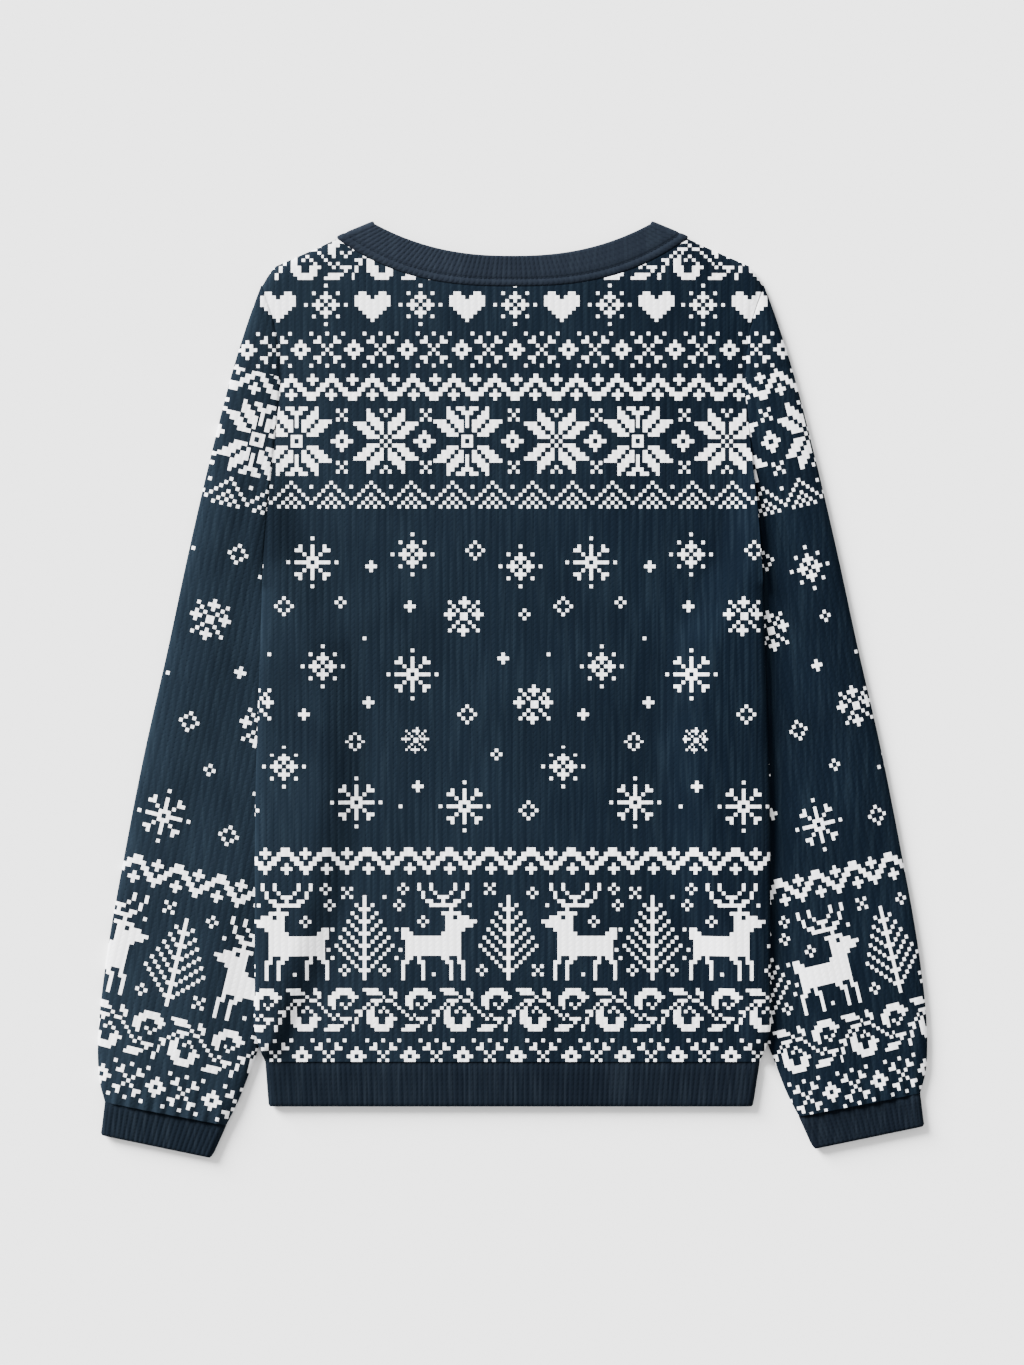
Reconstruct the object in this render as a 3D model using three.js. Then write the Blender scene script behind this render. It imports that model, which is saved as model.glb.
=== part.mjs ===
// A long sleeved crew neck sweater in ribbed knit, laid flat on a surface with its back up.
// Millimetres, Z up. The surface is Z = 0, +Y is the neck, and the garment's middle line is X = 0.
// The two sleeves hang beside the body, and their inner margins are tucked under its sides.
import * as THREE from 'three';

// Driving dimensions
const wall = 1.8; // knit fabric between two ribs
const ribRise = 0.7; // how far a rib stands above the fabric
const seamGap = 0.3; // clearance between pieces that are sewn together
const airGap = 2.2; // air between two layers that lie on each other
const flatHeight = 2 * wall + airGap + ribRise; // a flattened tube, both layers and a rib
const bodyRibPitch = 5.5; // one rib of the body knit
const bandRibPitch = 6.2; // one rib of neckband, hem and cuffs
const hemSeamY = -290.9; // seam between body and hem band
const hemHeight = 35.1; // hem band
const hemHalfBottom = 187.2; // half width of the hem band at its free edge
const shoulderTip = { x: 195.4, y: 315.1 }; // outer end of the shoulder seam
const shoulderBend = { x: 184, y: 330.7 }; // where the shoulder turns down
const underarmY = 85; // bottom of the armhole
const tuckMargin = 9; // width beyond the tucked sleeve over which the front stays fully raised
const cuffRise = 3.5; // how much one cuff lies above, and the other below, the mean
const backNeck = { seamHalf: 136.5, seamMid: 314.3, seamDrop: 37, openHalf: 108.5, openMid: 337.7, openDrop: 25.2 };
const backNeckPower = 2.65; // how square the back neckline is
const frontNeckDepth = 62; // front neckline below the back neckline
const frontNeckPower = 2.5; // how square the front neckline is
const shoulderCurl = 20; // width over which the back comes down to the front at a seam

// Body side seen from its middle line: half width at each height, from hem seam to shoulder
const bodySide = [
  { y: -290.9, half: 193.4, tuckRamp: 9 },
  { y: -270, half: 200.1, tuckRamp: 15 },
  { y: -230, half: 200.9, tuckRamp: 30 },
  { y: -155, half: 200.8, tuckRamp: 36 },
  { y: -80, half: 200.4, tuckRamp: 40 },
  { y: -12, half: 198.2, tuckRamp: 40 },
  { y: 38, half: 196.6, tuckRamp: 34 },
  { y: 68, half: 195.6, tuckRamp: 26 },
  { y: 85, half: 195, tuckRamp: 18 },
  { y: 100, half: 194.1, tuckRamp: 12 },
  { y: 142, half: 190.9, tuckRamp: 10 },
  { y: 190, half: 185.9, tuckRamp: 10 },
  { y: 240, half: 181.8, tuckRamp: 10 },
  { y: 283.1, half: 185.6, tuckRamp: 10 },
  { y: 315.1, half: 195.4, tuckRamp: 10 },
];

// Sleeve from cuff seam to armhole: outer and inner edge of the flattened tube
const sleeveRows = [
  { outerX: 318.6, outerY: -319, innerX: 223.5, innerY: -337 },
  { outerX: 322.4, outerY: -305, innerX: 215.3, innerY: -321 },
  { outerX: 324.1, outerY: -284, innerX: 206.5, innerY: -299 },
  { outerX: 323.2, outerY: -258, innerX: 198, innerY: -276 },
  { outerX: 318.4, outerY: -215, innerX: 190, innerY: -238 },
  { outerX: 303, outerY: -125.6, innerX: 170, innerY: -155 },
  { outerX: 287.6, outerY: -47.6, innerX: 160, innerY: -80 },
  { outerX: 269.9, outerY: 30.4, innerX: 161, innerY: -12 },
  { outerX: 253.1, outerY: 108.4, innerX: 173, innerY: 38 },
  { outerX: 235, outerY: 186, innerX: 189.5, innerY: 66 },
  { outerX: 216.5, outerY: 256.6, innerX: 193.5, innerY: 80 },
];

// Sleeve's hidden inner edge by height, with the ends led clear of the body
const sleeveInner = [
  { y: -300, x: 207.5 },
  { y: -290.9, x: 213 },
  { y: -276, x: 198 },
  { y: -238, x: 190 },
  { y: -155, x: 170 },
  { y: -80, x: 160 },
  { y: -12, x: 161 },
  { y: 38, x: 173 },
  { y: 66, x: 189.5 },
  { y: 85, x: 195 },
  { y: 100, x: 203 },
  { y: 320, x: 240 },
];

const cuffEnd = { outerX: 321.7, outerY: -344.6, innerX: 235, innerY: -362.6 }; // free edge of the cuff

// Soft folds of the back: middle, length along Y, width across, and height
const backFolds = [
  { x: -60, y: -40, length: 250, width: 30, height: -1.2 },
  { x: -12, y: -170, length: 140, width: 22, height: -0.7 },
  { x: 44, y: -110, length: 230, width: 38, height: 1.2 },
  { x: -138, y: 20, length: 300, width: 52, height: 1.1 },
  { x: 112, y: 60, length: 210, width: 34, height: -0.9 },
  { x: -180, y: 255, length: 60, width: 12, height: -1.3 },
  { x: 180, y: 250, length: 66, width: 12, height: -1.3 },
];

const navy = 0x1d2f3d;
const bandNavy = 0x1c2632;

function tableValue(table, along, at, wanted) {
  const last = table.length - 1;
  if (at <= table[0][along]) return table[0][wanted];
  for (let i = 1; i <= last; i += 1) {
    if (at <= table[i][along]) {
      const share = (at - table[i - 1][along]) / (table[i][along] - table[i - 1][along]);
      return THREE.MathUtils.lerp(table[i - 1][wanted], table[i][wanted], share);
    }
  }
  return table[last][wanted];
}

function evenShares(count) {
  return Array.from({ length: count + 1 }, (unused, i) => i / count);
}

// A closed mesh that is put together from grids of points and strips between rows of points
class Shell {
  constructor() {
    this.points = [];
    this.faces = [];
  }

  add(x, y, z) {
    this.points.push(x, y, z);
    return this.points.length / 3 - 1;
  }

  triangle(a, b, c) {
    if (a !== b && b !== c && c !== a) this.faces.push(a, b, c);
  }

  // Strip between two rows that have the same number of points, cut along the same diagonals either way up
  strip(low, high, upsideDown = false) {
    for (let i = 1; i < low.length; i += 1) {
      const corners = [low[i - 1], low[i], high[i], high[i - 1]];
      const [a, b, c, d] = corners;
      if (upsideDown) {
        this.triangle(a, c, b);
        this.triangle(a, d, c);
      } else {
        this.triangle(a, b, c);
        this.triangle(a, c, d);
      }
    }
  }

  // Strip between a fine row and a coarse one, each point with its share of the way along
  bridge(rowA, sharesA, rowB, sharesB) {
    let a = 0;
    let b = 0;
    while (a < rowA.length - 1 || b < rowB.length - 1) {
      const nextA = a < rowA.length - 1 ? sharesA[a + 1] : Infinity;
      const nextB = b < rowB.length - 1 ? sharesB[b + 1] : Infinity;
      if (nextA <= nextB) {
        this.triangle(rowA[a], rowA[a + 1], rowB[b]);
        a += 1;
      } else {
        this.triangle(rowA[a], rowB[b + 1], rowB[b]);
        b += 1;
      }
    }
  }

  volume() {
    const p = (i, k) => this.points[3 * i + k];
    let sum = 0;
    for (let f = 0; f < this.faces.length; f += 3) {
      const [a, b, c] = this.faces.slice(f, f + 3);
      sum += p(a, 0) * (p(b, 1) * p(c, 2) - p(b, 2) * p(c, 1));
      sum += p(a, 1) * (p(b, 2) * p(c, 0) - p(b, 0) * p(c, 2));
      sum += p(a, 2) * (p(b, 0) * p(c, 1) - p(b, 1) * p(c, 0));
    }
    return sum / 6;
  }

  // Geometry with every face pointing out
  geometry() {
    const inward = this.volume() < 0;
    const index = [];
    for (let f = 0; f < this.faces.length; f += 3) {
      const [a, b, c] = this.faces.slice(f, f + 3);
      if (inward) index.push(a, c, b);
      else index.push(a, b, c);
    }
    const geometry = new THREE.BufferGeometry();
    geometry.setAttribute('position', new THREE.Float32BufferAttribute(this.points, 3));
    geometry.setIndex(index);
    geometry.computeVertexNormals();
    return geometry;
  }
}

// Neckline and shoulder

function neckCurve(half, mid, rise, power, x) {
  return mid + rise * Math.abs(x / half) ** power;
}

function shoulderY(x) {
  const slope = (backNeck.seamMid + backNeck.seamDrop - shoulderBend.y) / (shoulderBend.x - backNeck.seamHalf);
  const straight = shoulderBend.y + slope * (shoulderBend.x - x);
  if (x <= shoulderBend.x) return straight;
  const share = (x - shoulderBend.x) / (shoulderTip.x - shoulderBend.x);
  return THREE.MathUtils.lerp(shoulderBend.y, shoulderTip.y, share ** 1.4);
}

// Neckline of a panel, a seam's gap below the neckband that is sewn to it
function neckline(depth, power, x) {
  const ax = Math.abs(x);
  if (ax >= backNeck.seamHalf) return shoulderY(ax);
  const rise = backNeck.seamDrop + depth;
  const slope = rise * power / backNeck.seamHalf * (ax / backNeck.seamHalf) ** (power - 1);
  const seam = neckCurve(backNeck.seamHalf, backNeck.seamMid - depth, rise, power, ax);
  return seam - seamGap * Math.hypot(1, slope);
}

const backTop = (x) => neckline(0, backNeckPower, x);
const frontTop = (x) => neckline(frontNeckDepth, frontNeckPower, x);

const bodyHalf = (y) => tableValue(bodySide, 'y', y, 'half');

// Place on a panel: u runs across from -1 to 1, v from hem seam to shoulder line or neckline
function panelPoint(u, v, topOf) {
  let top = shoulderTip.y;
  for (let pass = 0; pass < 12; pass += 1) top = topOf(u * bodyHalf(top));
  const y = hemSeamY + (top - hemSeamY) * v;
  return { x: u * bodyHalf(y), y };
}

// Heights of the layers

// Front panel's underside: flat on the surface, and over the tucked sleeves at the sides
function frontUnder(x, y) {
  const clear = tableValue(sleeveInner, 'y', y, 'x') - tuckMargin - Math.abs(x);
  const ramp = tableValue(bodySide, 'y', y, 'tuckRamp');
  return (flatHeight + 2 * seamGap) * (1 - THREE.MathUtils.smoothstep(clear, 0, ramp));
}

function foldHeight(folds, x, y) {
  let sum = 0;
  for (const fold of folds) {
    const across = (x - fold.x) / fold.width;
    const along = (y - fold.y) / (fold.length / 2);
    sum += fold.height * Math.exp(-across * across - along ** 4);
  }
  return sum;
}

// Back panel's underside: on the front with a little air, closed down at side and shoulder seams
function backUnder(x, y) {
  const ax = Math.abs(x);
  const toSide = bodyHalf(y) - ax + Math.max(0, y - underarmY) * 1.2;
  const toShoulder = ax < backNeck.seamHalf ? shoulderCurl : (shoulderY(ax) - y) * 0.9;
  const near = Math.min(toSide, Math.max(toShoulder, 0), shoulderCurl) / shoulderCurl;
  const open = Math.sin(near * Math.PI / 2);
  const air = airGap * open + foldHeight(backFolds, x, y) * open;
  return frontUnder(x, y) + wall + seamGap + Math.max(0, air - seamGap);
}

// Panels

// A panel as a wall: a ribbed or plain upper side over a plain, coarser lower side
function panelGeometry(topOf, underOf, upperShares, lowerShares, rise) {
  const shell = new Shell();
  const rows = bodySide.map((row) => (row.y - hemSeamY) / (shoulderTip.y - hemSeamY));
  const upper = [];
  const lower = [];
  rows.forEach((v) => {
    upper.push(upperShares.map((share, i) => {
      const { x, y } = panelPoint(2 * share - 1, v, topOf);
      return shell.add(x, y, underOf(x, y) + wall + (i % 2 ? rise : 0));
    }));
    lower.push(lowerShares.map((share) => {
      const { x, y } = panelPoint(2 * share - 1, v, topOf);
      return shell.add(x, y, underOf(x, y));
    }));
  });
  for (let row = 1; row < rows.length; row += 1) {
    shell.strip(upper[row - 1], upper[row]);
    shell.strip(lower[row - 1], lower[row], true);
    const last = upperShares.length - 1;
    const end = lowerShares.length - 1;
    shell.strip([lower[row - 1][0], upper[row - 1][0]], [lower[row][0], upper[row][0]]);
    shell.strip([upper[row - 1][last], lower[row - 1][end]], [upper[row][last], lower[row][end]]);
  }
  const top = rows.length - 1;
  shell.bridge(lower[0], lowerShares, upper[0], upperShares);
  shell.bridge(upper[top], upperShares, lower[top], lowerShares);
  return shell.geometry();
}

const bodyRibs = Math.round(2 * 200 / bodyRibPitch);

const plainShares = evenShares(44);

function backPanel() {
  return panelGeometry(backTop, backUnder, evenShares(2 * bodyRibs), plainShares, ribRise);
}

function frontPanel() {
  return panelGeometry(frontTop, frontUnder, plainShares, plainShares, 0);
}

// Flattened tubes

// Section of a flattened tube, by distance from its outer edge
function tubeSections(width, ribPitch, rise, plainSteps) {
  const high = 2 * wall + airGap;
  const ribs = Math.round((width - 18) / ribPitch);
  const outer = [{ a: 0, z: 0.4 * high }, { a: 1.5, z: 0.78 * high }, { a: 4.5, z: 0.95 * high }];
  for (let i = 0; i <= 2 * ribs; i += 1) {
    outer.push({ a: 9 + (width - 18) * i / (2 * ribs), z: high + (i % 2 ? rise : 0) });
  }
  outer.push({ a: width - 4.5, z: 0.95 * high }, { a: width - 1.5, z: 0.78 * high }, { a: width, z: 0.4 * high });
  for (const share of evenShares(plainSteps).reverse()) outer.push({ a: 2.4 + (width - 4.8) * share, z: 0 });
  const inner = [{ a: 2.4, z: wall + 0.8 }, { a: 4.4, z: wall + airGap - 0.4 }];
  for (const share of evenShares(plainSteps)) inner.push({ a: 8 + (width - 16) * share, z: high - wall });
  inner.push({ a: width - 4.4, z: wall + airGap - 0.4 }, { a: width - 2.4, z: wall + 0.8 });
  for (const share of evenShares(plainSteps).reverse()) inner.push({ a: 5 + (width - 10) * share, z: wall });
  return { outer, inner, width };
}

// Share of the way round a section, so that outer and inner rings can be joined
function roundShares(ring, width) {
  const shares = [];
  let under = false;
  ring.forEach((point, i) => {
    if (i > 0 && point.a < ring[i - 1].a) under = true;
    const share = point.a / width;
    shares.push(under ? 1 - share / 2 : share / 2);
  });
  return shares;
}

// Tube wall from a section and a place function; rows lead from one open end to the other
function tubeGeometry(sections, rows, placeAt) {
  const shell = new Shell();
  const ringsOf = (ring, grow) => rows.map((row) => {
    const ids = ring.map((point) => {
      const place = placeAt(point.a / sections.width, row.t);
      return shell.add(place.x, place.y, Math.max(0, point.z * (grow ? row.height : 1)));
    });
    ids.push(ids[0]);
    return ids;
  });
  const outer = ringsOf(sections.outer, true);
  const inner = ringsOf(sections.inner, false);
  for (let row = 1; row < rows.length; row += 1) {
    shell.strip(outer[row - 1], outer[row]);
    shell.strip(inner[row - 1], inner[row], true);
  }
  const outerShares = [...roundShares(sections.outer, sections.width), 1.01];
  const innerShares = [...roundShares(sections.inner, sections.width), 1.01];
  const end = rows.length - 1;
  shell.bridge(inner[0], innerShares, outer[0], outerShares);
  shell.bridge(outer[end], outerShares, inner[end], innerShares);
  return shell.geometry();
}

// Armhole: from the shoulder tip down to the underarm, a seam's gap outside the body
function armholePoint(s) {
  const y = THREE.MathUtils.lerp(shoulderTip.y, underarmY, s);
  return { x: bodyHalf(y) + seamGap + 0.1, y };
}

// Place on a sleeve: s from outer to inner edge, t from cuff seam to armhole
function sleevePoint(side, s, t) {
  const last = sleeveRows.length;
  const step = t * last;
  const index = Math.min(Math.floor(step), last - 1);
  const start = armholePoint(0);
  const end = armholePoint(1);
  const row = (i) => sleeveRows[i] ?? { outerX: start.x, outerY: start.y, innerX: end.x, innerY: end.y };
  const mix = (key) => THREE.MathUtils.lerp(row(index)[key], row(index + 1)[key], step - index);
  const bow = Math.max(0, (t - 0.6) / 0.4) ** 2;
  const seam = armholePoint(s);
  const bent = bow * (seam.x - THREE.MathUtils.lerp(start.x, end.x, s));
  const x = THREE.MathUtils.lerp(mix('outerX'), mix('innerX'), s) + bent;
  const y = THREE.MathUtils.lerp(mix('outerY'), mix('innerY'), s);
  return { x: side * x, y: y + side * cuffRise * (1 - t) };
}

function sleeve(side) {
  const count = sleeveRows.length;
  const rows = evenShares(count).map((t) => ({ t, height: 1 }));
  return tubeGeometry(tubeSections(134, bodyRibPitch, ribRise, 12), rows, (s, t) => sleevePoint(side, s, t));
}

// Cuff: sewn to the sleeve's end and a little narrower at its free edge
function cuff(side) {
  const seam = sleeveRows[0];
  const place = (s, t) => {
    const outerX = THREE.MathUtils.lerp(seam.outerX, cuffEnd.outerX, t);
    const outerY = THREE.MathUtils.lerp(seam.outerY, cuffEnd.outerY, t);
    const innerX = THREE.MathUtils.lerp(seam.innerX, cuffEnd.innerX, t);
    const innerY = THREE.MathUtils.lerp(seam.innerY, cuffEnd.innerY, t);
    const x = THREE.MathUtils.lerp(outerX, innerX, s);
    const y = THREE.MathUtils.lerp(outerY, innerY, s) - seamGap;
    return { x: side * x, y: y + side * cuffRise };
  };
  const rows = [{ t: 0, height: 1 }, { t: 0.92, height: 1 }, { t: 1, height: 0.85 }];
  return tubeGeometry(tubeSections(92, bandRibPitch, ribRise, 2), rows, place);
}

// Hem band: one flattened tube below the body
function hemBand() {
  const place = (s, t) => {
    const half = THREE.MathUtils.lerp(bodyHalf(hemSeamY), hemHalfBottom, t);
    return { x: half * (2 * s - 1), y: hemSeamY - seamGap - (hemHeight - seamGap) * t };
  };
  const rows = [{ t: 0, height: 1 }, { t: 0.5, height: 1 }, { t: 0.94, height: 1 }, { t: 1, height: 0.85 }];
  return tubeGeometry(tubeSections(380, bandRibPitch, ribRise, 6), rows, place);
}

// Neckband: a ring of rib that lies on the back neckline above and the front neckline below
function neckband() {
  const shell = new Shell();
  const upperMid = 2 * wall + airGap - wall / 2;
  const lowerMid = wall / 2;
  const turnRadius = (upperMid - lowerMid) / 2;
  const backCount = 2 * Math.round(250 / bandRibPitch);
  const frontCount = 36;
  const turnSteps = 5;
  const sections = [];
  const backSection = (w) => ({
    open: [w * backNeck.openHalf, neckCurve(1, backNeck.openMid, backNeck.openDrop, 2.35, w)],
    seam: [w * backNeck.seamHalf, neckCurve(1, backNeck.seamMid, backNeck.seamDrop, backNeckPower, w)],
  });
  const frontSection = (w) => ({
    open: [w * backNeck.openHalf,
      neckCurve(1, backNeck.openMid - frontNeckDepth, backNeck.openDrop + frontNeckDepth, 2.3, w)],
    seam: [w * backNeck.seamHalf,
      neckCurve(1, backNeck.seamMid - frontNeckDepth, backNeck.seamDrop + frontNeckDepth, frontNeckPower, w)],
  });
  const turn = (side) => {
    const edge = backSection(side);
    const along = [edge.seam[0] - edge.open[0], edge.seam[1] - edge.open[1]];
    const length = Math.hypot(...along);
    const away = [side * Math.abs(along[1]) / length, Math.abs(along[0]) / length];
    const list = [];
    for (let i = 1; i < turnSteps; i += 1) {
      const angle = Math.PI / 2 - Math.PI * i / turnSteps;
      const shift = turnRadius * Math.cos(angle);
      list.push({
        open: [edge.open[0] + away[0] * shift, edge.open[1] + away[1] * shift],
        seam: [edge.seam[0] + away[0] * shift, edge.seam[1] + away[1] * shift],
        z: lowerMid + turnRadius + turnRadius * Math.sin(angle),
        normal: [away[0] * Math.cos(angle), away[1] * Math.cos(angle), Math.sin(angle)],
        rise: 0,
      });
    }
    return list;
  };
  for (let i = 0; i <= backCount; i += 1) {
    const w = 1 - 2 * i / backCount;
    sections.push({ ...backSection(w), z: upperMid, normal: [0, 0, 1], rise: i % 2 ? ribRise : 0 });
  }
  sections.push(...turn(-1));
  for (let i = 0; i <= frontCount; i += 1) {
    const w = -1 + 2 * i / frontCount;
    sections.push({ ...frontSection(w), z: lowerMid, normal: [0, 0, -1], rise: 0 });
  }
  sections.push(...turn(1).reverse());
  const rings = sections.map(({ open, seam, z, normal, rise }) => {
    const point = (from, offset) => {
      const [x, y] = from;
      return shell.add(x + normal[0] * offset, y + normal[1] * offset, z + normal[2] * offset);
    };
    const reach = Math.hypot(open[0] - seam[0], open[1] - seam[1]);
    const rounded = [0, 1].map((k) => open[k] + (open[k] - seam[k]) / reach * 0.8);
    const ids = [
      point(open, -wall / 2),
      point(rounded, 0),
      point(open, wall / 2 + rise),
      point(seam, wall / 2 + rise),
      point(seam, -wall / 2),
    ];
    ids.push(ids[0]);
    return ids;
  });
  rings.forEach((ring, i) => shell.strip(ring, rings[(i + 1) % rings.length]));
  return shell.geometry();
}

function knit(color) {
  return new THREE.MeshStandardMaterial({ color, roughness: 0.95, metalness: 0 });
}

function piece(name, geometry, color) {
  const mesh = new THREE.Mesh(geometry, knit(color));
  mesh.name = name;
  return mesh;
}

const sweater = new THREE.Group();
sweater.add(piece('back', backPanel(), navy));
sweater.add(piece('front', frontPanel(), navy));
sweater.add(piece('sleeve_left', sleeve(-1), navy));
sweater.add(piece('sleeve_right', sleeve(1), navy));
sweater.add(piece('neckband', neckband(), bandNavy));
sweater.add(piece('hem_band', hemBand(), bandNavy));
sweater.add(piece('cuff_left', cuff(-1), bandNavy));
sweater.add(piece('cuff_right', cuff(1), bandNavy));

// The origin lies under the middle of the garment's outline
const middle = new THREE.Box3().setFromObject(sweater).getCenter(new THREE.Vector3());
sweater.children.forEach((mesh) => mesh.geometry.translate(-middle.x, -middle.y, 0));

export default sweater;
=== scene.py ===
import math

import bpy
import numpy as np
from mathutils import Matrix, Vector


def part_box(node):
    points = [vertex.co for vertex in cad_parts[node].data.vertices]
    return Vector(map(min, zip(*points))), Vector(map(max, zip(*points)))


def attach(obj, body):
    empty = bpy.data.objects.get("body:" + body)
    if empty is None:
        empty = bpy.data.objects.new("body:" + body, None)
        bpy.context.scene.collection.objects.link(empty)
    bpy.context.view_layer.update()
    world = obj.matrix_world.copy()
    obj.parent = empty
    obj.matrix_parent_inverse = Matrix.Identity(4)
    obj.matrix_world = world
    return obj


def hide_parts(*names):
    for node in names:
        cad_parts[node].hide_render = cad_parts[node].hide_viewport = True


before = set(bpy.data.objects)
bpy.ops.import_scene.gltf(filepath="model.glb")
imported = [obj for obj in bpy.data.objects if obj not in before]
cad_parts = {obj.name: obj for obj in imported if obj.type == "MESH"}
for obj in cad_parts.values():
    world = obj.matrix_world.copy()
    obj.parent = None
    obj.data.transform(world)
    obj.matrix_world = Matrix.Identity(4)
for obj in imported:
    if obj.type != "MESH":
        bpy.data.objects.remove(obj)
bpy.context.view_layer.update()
print("frame loaded")

mm = 0.001
rig = {"photoWidth": 1024, "photoHeight": 1365, "mmPerPixel": 0.78, "middlePixelX": 512.5,
       "middlePixelY": 689.0, "cameraHeight": 2.6, "aboveFloor": 0.008, "sensor": 36.0}
hemEdge = -326.0  # the hem band's free edge, in the garment's own mm
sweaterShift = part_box("hem_band")[0].y / mm - hemEdge  # added to the garment's own y to give the frame's

# Camera, straight above the garment

def addCamera():
    data = bpy.data.cameras.new("camera")
    data.sensor_fit = "VERTICAL"
    data.sensor_height = rig["sensor"]
    seenHeight = rig["photoHeight"] * rig["mmPerPixel"] * mm
    data.lens = rig["sensor"] * rig["cameraHeight"] / seenHeight
    x = (rig["photoWidth"] / 2 - rig["middlePixelX"]) * rig["mmPerPixel"] * mm
    y = ((rig["middlePixelY"] - rig["photoHeight"] / 2) * rig["mmPerPixel"] + sweaterShift) * mm
    camera = bpy.data.objects.new("camera", data)
    camera.location = (x, y, rig["cameraHeight"] + rig["aboveFloor"])
    bpy.context.scene.collection.objects.link(camera)
    bpy.context.scene.camera = camera


addCamera()

# Small helpers for curves and meshes

def hermite(table, along, wanted):
    xs = np.array([row[along] for row in table], float)
    ys = np.array([row[wanted] for row in table], float)
    step = np.diff(xs)
    rise = np.diff(ys) / step
    slope = np.empty_like(xs)
    slope[0], slope[-1] = rise[0], rise[-1]
    slope[1:-1] = (rise[:-1] * step[1:] + rise[1:] * step[:-1]) / (step[1:] + step[:-1])

    def value(at):
        at = np.clip(np.asarray(at, float), xs[0], xs[-1])
        i = np.clip(np.searchsorted(xs, at) - 1, 0, len(step) - 1)
        t = (at - xs[i]) / step[i]
        low = ys[i] * (1 + 2 * t) * (1 - t) ** 2 + slope[i] * step[i] * t * (1 - t) ** 2
        high = ys[i + 1] * t * t * (3 - 2 * t) + slope[i + 1] * step[i] * t * t * (t - 1)
        return low + high
    return value


def smooth(value, low, high):
    t = np.clip((value - low) / (high - low), 0, 1)
    return t * t * (3 - 2 * t)


def roundOver(distance, width):
    near = np.clip(distance / width, 0, 1)
    return np.sqrt(np.clip(1 - (1 - near) ** 2, 0, 1))


def softFolds(folds, x, y):
    total = np.zeros_like(x)
    for fold in folds:
        turn = math.radians(fold.get("turn", 0))
        dx, dy = x - fold["x"], y - fold["y"]
        across = (dx * math.cos(turn) + dy * math.sin(turn)) / fold["width"]
        along = (dy * math.cos(turn) - dx * math.sin(turn)) / (fold["length"] / 2)
        total += fold["height"] * np.exp(-across ** 2 - along ** 4)
    return total


def meshPiece(name, points, faces, uvs, yarn=None, cells=None):
    # points in mm, faces as rows of four corners; corners that fall together are welded
    # yarn holds five marks a face, and cells each point's column and row in the cloth's grid
    keys = np.round(points, 4)
    unique, first, inverse = np.unique(keys, axis=0, return_index=True, return_inverse=True)
    inverse = inverse.reshape(-1)
    faces = np.asarray(faces)
    welded = inverse[faces]
    shapes, kept, loops = [], [], []
    for row, corners in enumerate(welded.tolist()):
        clean = [k for k in range(4) if corners[k] != corners[k - 1]]
        if len(clean) > 2 and len({corners[k] for k in clean}) == len(clean):
            shapes.append([corners[k] for k in clean])
            kept.append(row)
            loops.extend(int(faces[row][k]) for k in clean)
    mesh = bpy.data.meshes.new(name)
    mesh.from_pydata((points[first] * mm).tolist(), [], shapes)
    layer = mesh.uv_layers.new(name="knit")
    layer.data.foreach_set("uv", np.asarray(uvs, np.float32)[loops].reshape(-1))
    if yarn is not None:
        marks = np.asarray(yarn, np.float32)[kept]
        mesh.attributes.new("yarn", "FLOAT", "FACE").data.foreach_set("value", marks[:, 0].copy())
        mesh.attributes.new("cuts", "FLOAT_COLOR", "FACE").data.foreach_set("color", marks[:, 1:].reshape(-1))
        layer = mesh.uv_layers.new(name="cell")
        layer.data.foreach_set("uv", np.asarray(cells, np.float32)[loops].reshape(-1))
    mesh.polygons.foreach_set("use_smooth", [True] * len(shapes))
    mesh.validate()
    piece = bpy.data.objects.new(name, mesh)
    bpy.context.scene.collection.objects.link(piece)
    return piece


def gridFaces(rows, columns, start=0, under=False):
    index = start + np.arange(rows * columns).reshape(rows, columns)
    quads = [index[:-1, :-1], index[:-1, 1:], index[1:, 1:], index[1:, :-1]]
    if under:
        quads.reverse()
    return np.stack([q.reshape(-1) for q in quads], axis=1)


def gridCells(rows, columns):
    column, row = np.meshgrid(np.arange(columns), np.arange(rows))
    return np.stack([column.reshape(-1), row.reshape(-1)], axis=1)

# Knitting charts, drawn top row first

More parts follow.
